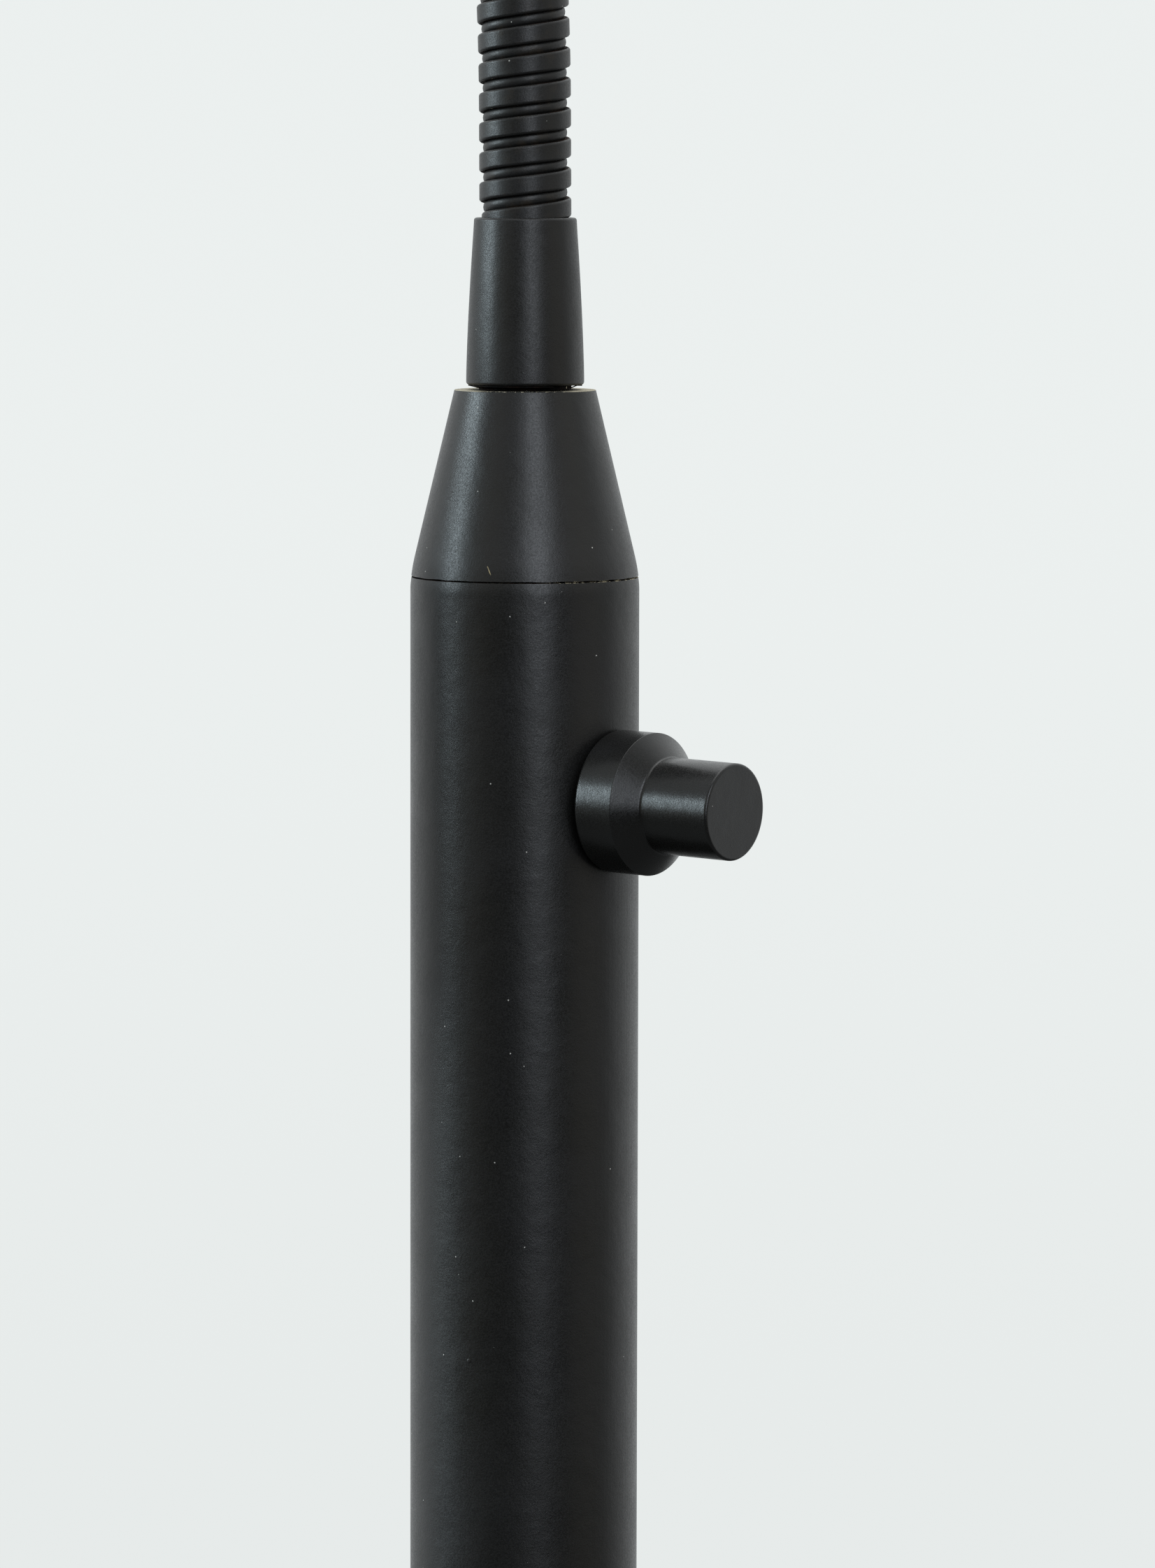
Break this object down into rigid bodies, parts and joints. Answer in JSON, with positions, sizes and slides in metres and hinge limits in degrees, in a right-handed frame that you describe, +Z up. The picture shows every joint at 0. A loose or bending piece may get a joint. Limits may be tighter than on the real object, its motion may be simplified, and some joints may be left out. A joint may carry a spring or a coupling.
{
  "type": "adjustable arm floor lamp",
  "caption": "Floor lamp with a weighted disc base, tubular post, rotary dimmer knob, cone cap and a bendable gooseneck arm with a spot head.",
  "frame": {"origin": "centre of the base's underside, on the floor", "axes": "+Z up along the post; -Y is the front; the arm arches over towards -X at rest, and the knob faces front right"},
  "size_m": [0.3484, 0.2572, 1.2257],
  "materials": {
    "satin_black_paint": "satin",
    "knob_black": "satin",
    "plated_steel": "satin",
    "cast_iron": "matte",
    "brass": "satin",
    "pad_foam": "matte",
    "inlet_rubber": "matte",
    "moulded_nylon": "matte",
    "lead_sheath": "satin",
    "holder_ceramic": "satin",
    "bulb_white": "satin",
    "bulb_lens": "satin"
  },
  "bodies": {
    "stand": {"base_cover": "satin_black_paint", "base_gland": "inlet_rubber", "base_pad": "pad_foam", "base_weight": "cast_iron", "cap_nipple": "plated_steel", "cone_cap": "satin_black_paint", "dimmer_housing": "moulded_nylon", "dimmer_nut": "plated_steel", "foot_nut": "plated_steel", "foot_washer": "plated_steel", "lamp_lead": "lead_sheath", "nipple_nut": "plated_steel", "post_collar": "satin_black_paint", "post_foot": "plated_steel", "post_joiner": "plated_steel", "post_lower": "satin_black_paint", "post_upper": "satin_black_paint", "supply_lead": "lead_sheath", "swivel_washer": "plated_steel", "terminal_block": "moulded_nylon"},
    "dial": {"knob": "knob_black", "dimmer_shaft": "brass"},
    "arm_foot": {"ferrule_lower": "satin_black_paint", "neck_stub_lower": "satin_black_paint", "lead_stub_lower": "lead_sheath"},
    "neck_1": {"neck_link_1": "satin_black_paint", "lead_link_1": "lead_sheath"},
    "neck_2": {"neck_link_2": "satin_black_paint", "lead_link_2": "lead_sheath"},
    "neck_3": {"neck_link_3": "satin_black_paint", "lead_link_3": "lead_sheath"},
    "neck_4": {"neck_link_4": "satin_black_paint", "lead_link_4": "lead_sheath"},
    "neck_5": {"neck_link_5": "satin_black_paint", "lead_link_5": "lead_sheath"},
    "neck_6": {"neck_link_6": "satin_black_paint", "lead_link_6": "lead_sheath"},
    "neck_7": {"neck_link_7": "satin_black_paint", "lead_link_7": "lead_sheath"},
    "neck_8": {"neck_link_8": "satin_black_paint", "lead_link_8": "lead_sheath"},
    "head": {"neck_stub_upper": "satin_black_paint", "lead_stub_upper": "lead_sheath", "ferrule_upper": "satin_black_paint", "head_washer": "plated_steel", "head_cap": "satin_black_paint", "head_nipple": "plated_steel", "head_nut": "plated_steel", "holder_bracket": "plated_steel", "lamp_holder": "holder_ceramic", "bulb_base": "holder_ceramic", "bulb_body": "bulb_white", "bulb_lens": "bulb_lens", "led_board": "bulb_white", "head_shade": "satin_black_paint"}
  },
  "joints": [
    {"name": "dial_turn", "type": "hinge", "parent": "stand", "child": "dial", "pos_m": [0, 0, 0.9716], "axis": [-0.7932, 0.6086, 0.0192], "range_deg": [0, 270]},
    {"name": "arm_swivel", "type": "hinge", "parent": "stand", "child": "arm_foot", "pos_m": [0, 0, 1.02505], "axis": [0, 0, 1], "range_deg": [-170, 170]},
    {"name": "bend_1", "type": "hinge", "parent": "arm_foot", "child": "neck_1", "pos_m": [-0.00018, 0, 1.0818], "axis": [0.0052, -1, -0.0035], "range_deg": [-12, 1.5]},
    {"name": "bend_2", "type": "hinge", "parent": "neck_1", "child": "neck_2", "pos_m": [-0.00485, 0, 1.12404], "axis": [0.0052, -1, -0.0035], "range_deg": [-24, 3]},
    {"name": "bend_3", "type": "hinge", "parent": "neck_2", "child": "neck_3", "pos_m": [-0.01819, 0, 1.16439], "axis": [0.0052, -1, -0.0035], "range_deg": [-36, 4.5]},
    {"name": "lower_bend", "type": "hinge", "parent": "neck_3", "child": "neck_4", "pos_m": [-0.04335, 0, 1.19864], "axis": [0.0052, -1, -0.0035], "range_deg": [-48, 6]},
    {"name": "upper_bend", "type": "hinge", "parent": "neck_4", "child": "neck_5", "pos_m": [-0.08027, 0, 1.2197], "axis": [0.0052, -1, -0.0035], "range_deg": [-60, 4]},
    {"name": "bend_6", "type": "hinge", "parent": "neck_5", "child": "neck_6", "pos_m": [-0.12277, 0, 1.21948], "axis": [0.0052, -1, -0.0035], "range_deg": [-60, 4]},
    {"name": "bend_7", "type": "hinge", "parent": "neck_6", "child": "neck_7", "pos_m": [-0.15946, 0, 1.19804], "axis": [0.0052, -1, -0.0035], "range_deg": [-54, 3.6]},
    {"name": "bend_8", "type": "hinge", "parent": "neck_7", "child": "neck_8", "pos_m": [-0.18242, 0, 1.16227], "axis": [0.0052, -1, -0.0035], "range_deg": [-42, 2.8]},
    {"name": "bend_9", "type": "hinge", "parent": "neck_8", "child": "head", "pos_m": [-0.19104, 0, 1.12066], "axis": [0.0052, -1, -0.0035], "range_deg": [-23.4, 1.56]}
  ],
  "couplings": [
    {"joint": "bend_1", "follows": "lower_bend", "ratio": 0.25},
    {"joint": "bend_2", "follows": "lower_bend", "ratio": 0.5},
    {"joint": "bend_3", "follows": "lower_bend", "ratio": 0.75},
    {"joint": "bend_6", "follows": "upper_bend", "ratio": 1},
    {"joint": "bend_7", "follows": "upper_bend", "ratio": 0.9},
    {"joint": "bend_8", "follows": "upper_bend", "ratio": 0.7},
    {"joint": "bend_9", "follows": "upper_bend", "ratio": 0.39}
  ]
}
